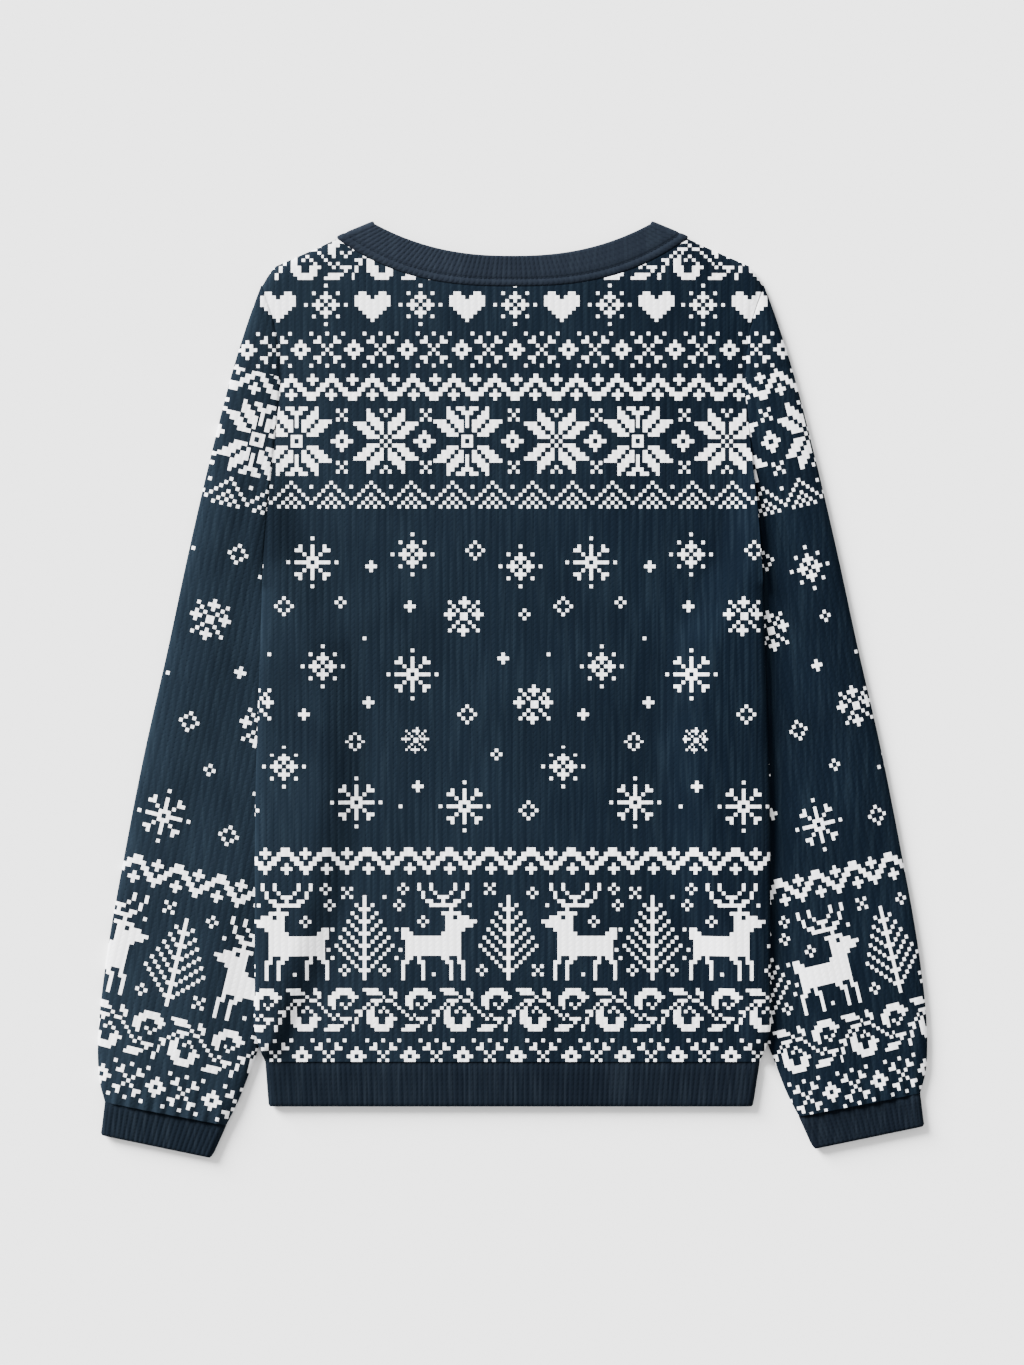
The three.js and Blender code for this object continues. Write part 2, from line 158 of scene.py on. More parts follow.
charts = {
    "heart": [".XX...XX.", "XXXX.XXXX", "XXXXXXXXX", "XXXXXXXXX", ".XXXXXXX.", "..XXXXX..", "...XXX...",
        "....X...."],
    "flower": ["..X..", ".XXX.", "XX.XX", ".XXX.", "..X.."],
    "ring": ["..X..", ".X.X.", "X...X", ".X.X.", "..X.."],
    "ringlet": [".X.", "X.X", ".X."],
    "four": ["X.X", ".X.", "X.X"],
    "plus": [".X.", "XXX", ".X."],
    "dot": ["X"],
    "zigzag": ["X........", "XX......X", ".XX....XX", "..XX..XX.", "...XXXX..", "....XX..."],
    "peaks": ["X.........", ".X...X...X", "..X.....X.", "X..X...X..", ".X..X.X..X", "X.X..X..X.",
        ".X.X...X.X"],
    "scroll": ["XXX...X.....XXXX...X", "XXXX..XX...XXXXXX...", "....X..X..XXX..XXX..",
        ".XXX.XX...XX....X...", "X.X....X..XX.X.X....", ".X..X...X..X..X....X", "XX.X.X...X.......XX.",
        "XX....X...X.X.....X.", "XXX..XXX...X.XXX.X..", "XXX..XX.......X..X..", ".XXXXXX...XXXX..X...",
        "..XXXX...XXXX...X..."],
    "deerRight": ["....X..X.....X..X..", "....X..X.....X..X..", ".....X..X...X..X...",
        ".....X...XXX...X...", "......XX..X..XX....", ".......XXXXXXX.....", "............X......",
        "..........XXXXX....", "...........XX.XXX..", "...........XXXXXXXX", "...........XXXXXXX.",
        "XX.........XXXXX...", "XXX.......XXXXX....", "XXXXXXXXXXXXXXX....", ".XXXXXXXXXXXXXX....",
        ".XXXXXXXXXXXXXX....", ".XXXXXXXXXXXXXX....", ".XXXXXXXXXXXXXX....", ".XX.X.....XX..X....",
        "XX..XX.....XX.XX...", "X....X......X..X...", "X....X......X..X...", "X....X......X..X...",
        "X....X......X..X..."],
    "squareRing": ["XXX", "X.X", "XXX"],
    "spray": ["XX.XX", ".XXX.", "..X..", "..X..", "..X.."],
}
quarters = {  # the lower right quarter of what is the same four ways, its middle row and column first
    "frost": [".XXX.X", "X.X...", "XX....", "X..X..", "......", "X....."],
    "cross": ["X....", ".X...", "..XX.", "..X..", "X...X"],
    "windStar": [".XXXX.X", "XX.....", "X.X....", "X..XX..", "X..X...", ".......", "X......"],
    "starPlain": [".X......", "X.XXX...", ".X.XXX..", ".XX.XXX.", ".XXX.XXX", "..XXX...", "X..XX...",
        ".X..X..."],
}
evenQuarters = {  # the same, for charts with no middle row or column
    "lattice": ["X...", ".X..", "..X.", "...X"],
    "starArms": ["........", "..XXX...", ".X.XXX..", ".XX.XXX.", ".XXX.XXX", "..XXX...", "...XX...",
        "....X..."],
}


def chartArray(rows):
    return np.array([[mark == "X" for mark in row] for row in rows])[::-1]


def fourWays(rows, shared=1):
    quarter = chartArray(rows)[::-1]
    lower = np.concatenate([quarter[:, ::-1][:, :quarter.shape[1] - shared], quarter], axis=1)
    return np.concatenate([lower[::-1][:len(lower) - shared], lower])


def fir():
    # a trunk with six dotted branches a side, each a stitch longer than the one above it
    rows, reach, branches, apart = 21, 7, 6, 3
    tree = np.zeros((rows, 2 * reach + 1), bool)
    tree[:, reach] = True
    for branch in range(1, branches + 1):
        for step in range(branch + 1):
            tree[apart * branch - step, [reach - 1 - step, reach + 1 + step]] = True
    return tree[::-1]


motifs = {name: chartArray(rows) for name, rows in charts.items()}
motifs.update({name: fourWays(rows) for name, rows in quarters.items()})
motifs.update({name: fourWays(rows, 0) for name, rows in evenQuarters.items()})
motifs["fir"] = fir()
motifs["deerLeft"] = motifs["deerRight"][:, ::-1]
motifs["zigzagDown"] = motifs["zigzag"][::-1]
motifs["sprayDown"] = motifs["spray"][::-1]

# Places are in stitches of 3.12 mm: columns from the middle of the back, rows from the hem seam

bands = [
    {"motif": "scroll", "low": 7.6, "high": 18.5, "repeat": 19.15, "at": 2.3},
    {"motif": "zigzagDown", "low": 46.85, "high": 53.7, "repeat": 10.2, "at": -0.55},
    {"motif": "peaks", "low": 138.3, "high": 145.3, "repeat": 10.04, "at": -5.1},
    {"motif": "zigzag", "low": 165.3, "high": 172.1, "repeat": 10.2, "at": -4.4},
    {"motif": "scroll", "low": 195.5, "high": 206.4, "repeat": 19.15, "at": 2.3},
]
starRow, starScale, starRepeat = 155.2, 1.0875, 42.7
deerRepeat = 72
rowed = [
    {"motif": "flower", "row": 1.35, "repeat": 13.4, "at": 1.1},
    {"motif": "cross", "row": 1.35, "repeat": 13.4, "at": 7.75},
    {"motif": "flower", "row": 178.1, "repeat": 13.4, "at": 0.6},
    {"motif": "cross", "row": 178.1, "repeat": 13.4, "at": 7.25},
    {"motif": "plus", "row": 52.2, "repeat": 10.2, "at": -0.55},
    {"motif": "plus", "row": 48.35, "repeat": 10.2, "at": 4.8},
    {"motif": "plus", "row": 166.8, "repeat": 10.2, "at": -4.4},
    {"motif": "plus", "row": 170.6, "repeat": 10.2, "at": 0.95},
    {"motif": "frost", "row": 189.3, "repeat": 23.6, "at": 0.6},
    {"motif": "heart", "row": 188.8, "repeat": 23.6, "at": 12.3},
    {"motif": "fir", "row": 31.08, "repeat": deerRepeat / 2, "at": -1},
    {"motif": "deerLeft", "row": 32.6, "repeat": deerRepeat, "at": 16.5},
    {"motif": "deerRight", "row": 32.6, "repeat": deerRepeat, "at": -18.2},
]
starBand = [  # motif, rows above the band's middle, column
    ("starArms", 0, -11.3), ("squareRing", 0, -11.3), ("spray", 5.5, -11.3), ("sprayDown", -5.5, -11.3),
    ("starPlain", 0, 11), ("flower", 0, 0.1), ("flower", 0, 20.8),
    ("four", 6, 0.2), ("four", 6, 20.9), ("four", -6, 0.2), ("four", -6, 20.9),
]
for motif, above, at in starBand:
    row = starRow + above * starScale
    rowed.append({"motif": motif, "row": row, "repeat": starRepeat, "at": at, "scale": starScale})
fieldRepeat = 69.75
field = [
    {"motif": "windStar", "places": [(-50.1, 124.9), (-25.1, 96.6), (-39.1, 64.6), (-12.1, 64.1)]},
    {"motif": "frost", "places": [(-25.1, 126.9), (2.1, 124.1), (-47.4, 98.9), (-57.1, 73.6)]},
    {"motif": "ring", "places": [(-9.4, 128.1), (-57.1, 113.6), (-11.4, 87.1), (-39.4, 80.1), (4.1, 62.6)]},
    {"motif": "ringlet", "places": [(-42.9, 114.6), (3.1, 112.1), (-3.9, 76.9)]},
    {"motif": "plus", "places": [(-35.4, 124.4), (-25.6, 113.6), (-2.4, 100.6), (-52.1, 86.6),
                                 (-35.9, 89.9), (-23.6, 69.1)]},
    {"motif": "dot", "places": [(-36.9, 106.1), (-60.6, 101.9), (-27.9, 63.6)]},
]
lattices = [  # a diagonal lattice with a plus on each side of it
    {"at": -12.2, "row": 111.4, "scale": 1.0, "beside": 3.5, "lift": 0.5},
    {"at": 5.3, "row": 89.4, "scale": 1.0, "beside": 3.5, "lift": 0.5},
    {"at": -24.2, "row": 80.4, "scale": 2 / 3, "beside": 7 / 3, "lift": 1 / 3},
]
for flake in lattices:
    scale, beside, lift = flake["scale"], flake["beside"], flake["lift"]
    field.append({"motif": "lattice", "places": [(flake["at"], flake["row"])], "scale": scale})
    around = [(beside, lift), (-beside, lift), (0.2, beside), (-0.2, -beside)]
    places = [(flake["at"] + x, flake["row"] + y) for x, y in around]
    field.append({"motif": "plus", "places": places, "scale": scale})
rowGrids = [  # rows of stitches that the cloth's own rows follow
    {"low": -3.15, "high": 5.85, "rows": 9},
    {"low": 7.6, "high": 18.5, "rows": 12},
    {"low": 20.4, "high": 44.8, "rows": 24},
    {"low": 46.85, "high": 53.7, "rows": 6},
    {"low": 46.85, "high": 49.85, "rows": 3},
    {"low": 50.7, "high": 53.7, "rows": 3},
    {"low": 53.4, "high": 137.4, "rows": 84},
    {"low": 77.07, "high": 83.73, "rows": 10},
    {"low": 138.3, "high": 145.3, "rows": 7},
    {"low": starRow - 8 * starScale, "high": starRow + 8 * starScale, "rows": 16},
    {"low": starRow - 7.5 * starScale, "high": starRow + 7.5 * starScale, "rows": 15},
    {"low": 165.3, "high": 172.1, "rows": 6},
    {"low": 165.3, "high": 168.3, "rows": 3},
    {"low": 169.1, "high": 172.1, "rows": 3},
    {"low": 173.6, "high": 182.6, "rows": 9},
    {"low": 184.0, "high": 194.6, "rows": 11},
    {"low": 195.5, "high": 206.4, "rows": 12},
    {"low": 206.4, "high": 208.4, "rows": 2},
]
treeTrim = {  # columns from the trunk, rows from the hem seam
    "tails": [("ringlet", -9.6, 43.1), ("ringlet", 9.6, 43.1), ("ringlet", -8.8, 39.2),
        ("ringlet", 8.8, 39.2), ("ringlet", -14.8, 35.3), ("ringlet", 14.8, 35.3), ("dot", -7.9, 33.4),
        ("dot", 7.9, 33.4), ("dot", -9, 28.4), ("dot", 9, 28.4), ("dot", -8, 25.6), ("dot", 8, 25.6),
        ("ringlet", -5, 22.8), ("ringlet", 5, 22.8), ("four", -4.4, 42.1), ("dot", 5.1, 41.2),
        ("dot", -17.4, 21.8), ("dot", 17.4, 21.8)],
    "noses": [("four", -4.7, 43), ("ringlet", 5.9, 42.6), ("dot", -9.7, 39.1), ("dot", 9.7, 39.1),
        ("dot", -8.8, 26.5), ("dot", 8.8, 26.5), ("ringlet", -6.8, 22.8), ("four", 7.2, 22.8)],
}


def stamp(chart, columns, rows, motif, at, row, scale=1.0):
    pattern = motifs[motif]
    high, wide = pattern.shape
    at = round(at * 3) / 3 + (1 - wide % 2) / 6
    c = np.floor((columns - at) / scale + wide / 2).astype(int)
    r = np.floor((rows - row) / scale + high / 2).astype(int)
    inColumns, inRows = (c >= 0) & (c < wide), (r >= 0) & (r < high)
    chart[np.ix_(inRows, inColumns)] |= pattern[np.ix_(r[inRows], c[inColumns])]


def yarnOn(columns, rows):
    # white yarn, 0 or 1, for every crossing of the given columns and rows of stitches
    chart = np.zeros((len(rows), len(columns)), bool)
    for band in bands:
        pattern = motifs[band["motif"]]
        high, wide = pattern.shape
        inBand = (rows > band["low"]) & (rows < band["high"])
        r = np.floor((rows[inBand] - band["low"]) / (band["high"] - band["low"]) * high).astype(int)
        c = np.floor((columns - band["at"]) / band["repeat"] * wide + 0.5).astype(int) % wide
        chart[inBand] |= pattern[np.ix_(r, c)]
    for item in rowed:
        for k in range(-9, 10):
            at = item["at"] + k * item["repeat"]
            stamp(chart, columns, rows, item["motif"], at, item["row"], item.get("scale", 1.0))
    for item in field:
        for at, row in item["places"]:
            for k in (-1, 0, 1, 2):
                column = at + fieldRepeat * k
                stamp(chart, columns, rows, item["motif"], column, row, item.get("scale", 1.0))
    for k in range(-2, 3):
        for kind, trunk in (("tails", -37), ("noses", -1)):
            for motif, beside, row in treeTrim[kind]:
                stamp(chart, columns, rows, motif, trunk + deerRepeat * k + beside, row)
    return chart


def yarnMarks(columns, rows, pattern, inset):
    # for each face: white or not, and how much of it is cut back on its left, right, lower and upper side
    white = yarnOn(pattern, (rows[:-1] + rows[1:]) / 2)
    ringed = np.pad(white, 1, mode="edge")
    wide = np.abs(np.diff(columns))[None, :]
    high = np.diff(rows)[:, None]
    sides = [(ringed[1:-1, :-2], wide), (ringed[1:-1, 2:], wide),
             (ringed[:-2, 1:-1], high), (ringed[2:, 1:-1], high)]
    cuts = [np.where(white & ~beside, inset / size, -1.0) for beside, size in sides]
    return np.stack([white.astype(float)] + cuts, axis=-1).reshape(-1, 5)


nearestRows = 0.12


def stitchRows(low, high):
    edges = np.concatenate([np.linspace(grid["low"], grid["high"], grid["rows"] + 1) for grid in rowGrids])
    edges = np.sort(edges[(edges > low) & (edges < high)])
    kept = [low]
    for edge in edges:
        if edge - kept[-1] > nearestRows:
            kept.append(edge)
    return np.array(kept + [high])


print("charts drawn")

# Shape of the body, as in the solids

body = {"cell": 3.12, "perCell": 3, "thick": 6.5, "roundWidth": 12.0, "wale": 5.46, "stitch": 4.0,
        "waleRise": 0.13, "whiteInset": 0.085, "hemSeam": -290.9, "underarm": 85.0, "seamGap": 0.3,
        "bulge": 1.6,
        "tuckGap": 9, "tuckLift": 0.6, "edgeRidge": 0.35, "bulgeSide": 90, "bulgeHem": 60,
        "armDip": 0.8, "armDipWidth": 4.5, "reachCells": 65}
bodySide = [
    {"y": -290.9, "half": 193.4, "ramp": 9},
    {"y": -270, "half": 200.1, "ramp": 15},
    {"y": -230, "half": 200.9, "ramp": 30},
    {"y": -155, "half": 200.8, "ramp": 36},
    {"y": -80, "half": 200.4, "ramp": 40},
    {"y": -12, "half": 198.2, "ramp": 44},
    {"y": 38, "half": 196.6, "ramp": 44},
    {"y": 68, "half": 195.6, "ramp": 44},
    {"y": 85, "half": 195, "ramp": 42},
    {"y": 100, "half": 194.1, "ramp": 40},
    {"y": 142, "half": 190.9, "ramp": 36},
    {"y": 190, "half": 185.9, "ramp": 30},
    {"y": 240, "half": 181.8, "ramp": 26},
    {"y": 283.1, "half": 185.6, "ramp": 20},
    {"y": 315.1, "half": 195.4, "ramp": 16},
]
tuckedEdge = [
    {"y": -300, "x": 207.5},
    {"y": -290.9, "x": 213},
    {"y": -276, "x": 198},
    {"y": -238, "x": 190},
    {"y": -155, "x": 170},
    {"y": -80, "x": 160},
    {"y": -12, "x": 161},
    {"y": 38, "x": 173},
    {"y": 66, "x": 189.5},
    {"y": 85, "x": 195},
    {"y": 100, "x": 203},
    {"y": 320, "x": 240},
]
neck = {"seamHalf": 136.5, "seamMid": 314.3, "seamDrop": 37, "backPower": 2.65, "openHalf": 108.5,
        "openMid": 337.7, "openDrop": 25.2, "openPower": 2.35, "frontDepth": 62, "frontPower": 2.5,
        "frontOpenPower": 2.3}
shoulder = {"tipX": 195.4, "tipY": 315.1, "bendX": 184, "bendY": 330.7}
bodyHalf = hermite(bodySide, "y", "half")
tuckRamp = hermite(bodySide, "y", "ramp")
backFolds = [
    {"x": -60, "y": -40, "length": 250, "width": 30, "height": -1.2},
    {"x": -12, "y": -170, "length": 140, "width": 22, "height": -0.7},
    {"x": 44, "y": -110, "length": 230, "width": 38, "height": 1.2},
    {"x": -138, "y": 20, "length": 300, "width": 52, "height": 1.1},
    {"x": 112, "y": 60, "length": 210, "width": 34, "height": -0.9},
    {"x": -180, "y": 255, "length": 60, "width": 12, "height": -1.3},
    {"x": 180, "y": 250, "length": 66, "width": 12, "height": -1.3},
]


def shoulderLine(ax):
    slope = (neck["seamMid"] + neck["seamDrop"] - shoulder["bendY"]) / (shoulder["bendX"] - neck["seamHalf"])
    straight = shoulder["bendY"] + slope * (shoulder["bendX"] - ax)
    share = np.clip((ax - shoulder["bendX"]) / (shoulder["tipX"] - shoulder["bendX"]), 0, 1)
    bent = shoulder["bendY"] + (shoulder["tipY"] - shoulder["bendY"]) * share ** 1.4
    return np.where(ax <= shoulder["bendX"], straight, bent)


def neckline(depth, power):
    def top(x):
        ax = np.abs(x)
        near = np.minimum(ax / neck["seamHalf"], 1)
        rise = neck["seamDrop"] + depth
        slope = rise * power / neck["seamHalf"] * near ** (power - 1)
        seam = neck["seamMid"] - depth + rise * near ** power - body["seamGap"] * np.hypot(1, slope)
        return np.where(ax >= neck["seamHalf"], shoulderLine(ax), seam)
    return top


def underBody(x, y):
    edge = np.interp(y, [row["y"] for row in tuckedEdge], [row["x"] for row in tuckedEdge])
    clear = edge - body["tuckGap"] - np.abs(x)
    return (body["thick"] + body["tuckLift"]) * (1 - smooth(clear, 0, np.maximum(tuckRamp(y), 1)))


def sideRound(x, y):
    # 0 on a side or shoulder seam, 1 away from them; armhole seams stay open
    ax = np.abs(x)
    toSide = bodyHalf(y) - ax + np.maximum(0, y - body["underarm"] + 6) * 1.5
    toShoulder = np.where(ax < neck["seamHalf"], 99, (shoulderLine(ax) - y) * 0.9)
    nearNeck = np.where(ax < neck["seamHalf"] + 12, 12 - np.clip(ax - neck["seamHalf"], 0, 12), 0)
    toShoulder = toShoulder + nearNeck * 0.6
    return roundOver(np.minimum(toSide, np.maximum(toShoulder, 0)), body["roundWidth"])


def waleRidge(across, pitch, rise):
    phase = np.abs((across / pitch) % 1 - 0.5) * 2
    return rise * (1 - phase ** 2.4)


def clothRidge(across, rounded):
    # wales, lower towards the cloth's edge
    low = body["edgeRidge"]
    return waleRidge(across, body["wale"], body["waleRise"]) * (low + (1 - low) * rounded)


def panelGrid(perCell, top):
    cell = body["cell"]
    reach = body["reachCells"] * perCell + perCell // 2
    columns = (np.arange(-reach, reach + 1) + (0.5 if perCell % 2 else 0)) * cell / perCell
    stitches = stitchRows(0, 207)
    u, v = np.meshgrid(columns, body["hemSeam"] + stitches * cell)
    x, y = u.copy(), v.copy()
    for _ in range(3):
        y = np.minimum(v, top(x))
        x = np.clip(u, -bodyHalf(y), bodyHalf(y))
    pattern = (columns[:-1] + columns[1:]) / 2 / cell
    return x, y, yarnMarks(columns / cell, stitches, pattern, body["whiteInset"])


def clothUvs(x, y, wale, stitch):
    return np.stack([x.reshape(-1) / wale, y.reshape(-1) / stitch], axis=1)


def backCloth():
    x, y, yarn = panelGrid(body["perCell"], neckline(0, neck["backPower"]))
    rounded = sideRound(x, y)
    half = body["thick"] / 2
    ridge = clothRidge(x, rounded)
    toSide = bodyHalf(y) - np.abs(x)
    aboveHem = y - body["hemSeam"]
    bulge = body["bulge"] * smooth(toSide, 0, body["bulgeSide"]) * smooth(aboveHem, 0, body["bulgeHem"])
    atArm = smooth(y, body["underarm"] - 10, body["underarm"] + 20)
    armSeam = -body["armDip"] * np.exp(-(toSide / body["armDipWidth"]) ** 2) * atArm
    z = underBody(x, y) + half + (half - body["waleRise"]) * rounded + ridge + bulge + armSeam
    z += softFolds(backFolds, x, y) * rounded
    points = np.stack([x, y + sweaterShift, z], axis=-1).reshape(-1, 3)
    uvs = clothUvs(x, y, body["wale"], body["stitch"])
    return meshPiece("backCloth", points, gridFaces(*x.shape), uvs, yarn, gridCells(*x.shape))


def frontCloth():
    x, y, yarn = panelGrid(1, neckline(neck["frontDepth"], neck["frontPower"]))
    half = body["thick"] / 2
    z = underBody(x, y) + half - half * sideRound(x, y)
    points = np.stack([x, y + sweaterShift, z], axis=-1).reshape(-1, 3)
    uvs = clothUvs(x, y, body["wale"], body["stitch"])
    return meshPiece("frontCloth", points, gridFaces(*x.shape, under=True), uvs, yarn, gridCells(*x.shape))


# Sleeves, in their own turned grid: u outwards across, v from cuff seam to shoulder

sleeve = {"cell": 3.295, "turn": 13.5, "cuffX": 271.05, "cuffY": -328.0, "thick": 6.5, "puff": 2.2,
          "rise": 3.5, "length": 650, "capFrom": 577, "seamTilt": -0.0487, "roundWidth": 10.0,
          "underlap": 1.4,
          "closedTo": 400, "openFrom": 440, "gather": 0.7, "gatherPitch": 11.5, "gatherReach": 16,
          "armDip": 1.1, "armDipWidth": 6, "tuckDip": 1.2,
          "capTop": 315.2, "capOverlap": 1.5, "capSink": 0.35}
sleeveSides = {
    "sleeveLeft": {"side": -1, "across": 3.295, "columnShift": 4.6, "rowShift": 4.3},
    "sleeveRight": {"side": 1, "across": 2.87, "columnShift": -18.85, "rowShift": 3.25},
}
sleeveEdge = [
    {"outX": 318.6, "outY": -319, "inX": 223.5, "inY": -337},
    {"outX": 322.4, "outY": -305, "inX": 215.3, "inY": -321},
    {"outX": 324.1, "outY": -284, "inX": 206.5, "inY": -299},
    {"outX": 323.2, "outY": -258, "inX": 198, "inY": -276},
    {"outX": 318.4, "outY": -215, "inX": 190, "inY": -238},
    {"outX": 303, "outY": -125.6, "inX": 170, "inY": -155},
    {"outX": 287.6, "outY": -47.6, "inX": 160, "inY": -80},
    {"outX": 269.9, "outY": 30.4, "inX": 161, "inY": -12},
    {"outX": 253.1, "outY": 108.4, "inX": 173, "inY": 38},
    {"outX": 235, "outY": 186, "inX": 189.5, "inY": 66},
    {"outX": 216.5, "outY": 256.6, "inX": 193.5, "inY": 80},
    {"outX": 206.5, "outY": 288, "inX": 195.3, "inY": 85},
    {"outX": 196.5, "outY": 315.4, "inX": 196.2, "inY": 315},
]
sleeveFolds = [  # in u and v
    {"x": 34, "y": 250, "length": 330, "width": 17, "height": -0.9, "turn": 3},
    {"x": 62, "y": 330, "length": 260, "width": 12, "height": 0.8, "turn": -2},
    {"x": -8, "y": 120, "length": 200, "width": 15, "height": 0.9, "turn": 6},
    {"x": 20, "y": 60, "length": 90, "width": 9, "height": -0.8, "turn": -8},
    {"x": -30, "y": 40, "length": 70, "width": 8, "height": -0.7, "turn": 10},
    {"x": 46, "y": 480, "length": 150, "width": 10, "height": -0.9, "turn": 8},
]
turnCos, turnSin = math.cos(math.radians(sleeve["turn"])), math.sin(math.radians(sleeve["turn"]))


def toSleeve(x, y):
    dx, dy = x - sleeve["cuffX"], y - sleeve["cuffY"]
    return dx * turnCos + dy * turnSin, dy * turnCos - dx * turnSin


def fromSleeve(u, v):
    return sleeve["cuffX"] + u * turnCos - v * turnSin, sleeve["cuffY"] + u * turnSin + v * turnCos


def sleeveEdges():
    outer = [dict(zip("uv", toSleeve(row["outX"], row["outY"]))) for row in sleeveEdge]
    inner = [dict(zip("uv", toSleeve(row["inX"], row["inY"]))) for row in sleeveEdge[:-1]]
    for y in (100, 142, 190, 240, 283.1, 315.0):
        inner.append(dict(zip("uv", toSleeve(float(bodyHalf(y)) + 0.4 - sleeve["underlap"], y))))
    return hermite(outer, "v", "u"), hermite(inner, "v", "u")


outerEdge, innerEdge = sleeveEdges()


def sleeveTop(u, v, side):
    # height of the upper layer, and of the lower one below it
    x, y = fromSleeve(u, v)
    pastBody = x - bodyHalf(y)
    closed = 1 - smooth(v, sleeve["closedTo"], sleeve["openFrom"])
    inner = (u - innerEdge(v)) + (1 - closed) * 40
    rounded = roundOver(np.minimum(outerEdge(v) - u, inner), sleeve["roundWidth"])
    half = sleeve["thick"] / 2
    puff = sleeve["puff"] * smooth(pastBody, 2, 45) * smooth(outerEdge(v) - u, 0, 40)
    atArmhole = (1 - closed) * np.exp(-(np.maximum(pastBody, 0) / sleeve["armDipWidth"]) ** 2)
    tucked = np.where(pastBody < 0.6, 1, 0) * (1 - closed) * sleeve["tuckDip"]
    waves = np.sin(u * 2 * math.pi / sleeve["gatherPitch"] + 1.3 * side)
    gather = sleeve["gather"] * waves * np.exp(-np.clip(v, 0, None) / sleeve["gatherReach"]) * rounded
    ridge = clothRidge(u, rounded)
    folds = softFolds(sleeveFolds, u, v) * smooth(pastBody, 0, 12)
    upper = half + (half - body["waleRise"]) * rounded + ridge + (puff + folds) * rounded + gather
    return upper - sleeve["armDip"] * atArmhole - tucked, half - half * rounded


def sleeveCloth(name):
    facts = sleeveSides[name]
    side, cell, across = facts["side"], sleeve["cell"], facts["across"]
    points, faces, uvs, yarn, cells = [], [], [], [], []
    count = 0

    def addLayer(x, y, z, u, v, under, marks):
        nonlocal count
        raised = y + side * sleeve["rise"] * (1 - v / sleeve["length"]) + sweaterShift
        points.append(np.stack([side * x, raised, z], axis=-1).reshape(-1, 3))
        faces.append(gridFaces(*x.shape, start=count, under=under != (side < 0)))
        uvs.append(clothUvs(u, v, body["wale"], body["stitch"]))
        yarn.append(marks)
        cells.append(gridCells(*x.shape))
        count += x.size

    for under, perCell in ((False, 3), (True, 1)):
        first, last = (int(edge / across) * perCell for edge in (-69, 93))
        columns = (np.arange(first, last) + 0.5) * across / perCell
        stitches = stitchRows(facts["rowShift"] * -1.0 - 3, 182)
        gridU, gridV = np.meshgrid(columns, (stitches + facts["rowShift"]) * cell)
        highest = sleeve["length"] - 12 if under else sleeve["capFrom"]
        v = np.clip(gridV, sleeve["seamTilt"] * gridU, highest)
        u = np.clip(gridU, innerEdge(v), np.maximum(outerEdge(v), innerEdge(v)))
        v = np.maximum(v, sleeve["seamTilt"] * u)
        upper, lower = sleeveTop(u, v, side)
        x, y = fromSleeve(u, v)
        pattern = side * (columns[:-1] + columns[1:]) / 2 / across + facts["columnShift"]
        marks = yarnMarks(columns / across, stitches, pattern, body["whiteInset"])
        addLayer(x, y, lower if under else upper, u, v, under, marks)
    # the cap above the turned rows carries on the body's own rows
    columns = (np.arange(56 * 3, 71 * 3) + 0.5) * body["cell"] / 3
    stitches = stitchRows(160, 197)
    gridX, gridY = np.meshgrid(columns, body["hemSeam"] + stitches * body["cell"])
    capLow = sleeve["capFrom"] - sleeve["capOverlap"]
    y = np.minimum(gridY, sleeve["capTop"])
    x = gridX
    for _ in range(4):
        capU, capV = toSleeve(x, y)
        y = np.where(capV < capLow, y + (capLow - capV) / turnCos, y)
        y = np.minimum(y, sleeve["capTop"])
        rowsV = np.linspace(sleeve["capFrom"] - 20, 652, 60)
        outX, outY = fromSleeve(outerEdge(rowsV), rowsV)
        inX, inY = fromSleeve(innerEdge(rowsV), rowsV)
        nearest, furthest = np.interp(y, inY, inX), np.interp(y, outY, outX)
        x = np.clip(gridX, nearest, np.maximum(furthest, nearest))
    capU, capV = toSleeve(x, y)
    upper, lower = sleeveTop(capU, capV, side)
    hidden = np.where(capV < sleeve["capFrom"] - 0.2, sleeve["capSink"], 0)
    pattern = side * (columns[:-1] + columns[1:]) / 2 / body["cell"]
    marks = yarnMarks(columns / body["cell"], stitches, pattern, body["whiteInset"])
    addLayer(x, y, upper - hidden, capU, capV, False, marks)
    return meshPiece(name, *(np.concatenate(part) for part in (points, faces, uvs, yarn, cells)))


# Rib bands: hem and cuffs are flattened tubes, the neckband is a ring

band = {"rib": 3.9, "ribRise": 0.26, "thick": 6.5, "roundWidth": 6.0, "perRib": 5, "underlap": 1.2,
        "sidePoints": 12, "height": 30, "blunt": 1.2, "freeRound": 4.0, "seamDip": 1.0, "seamWidth": 2.2}


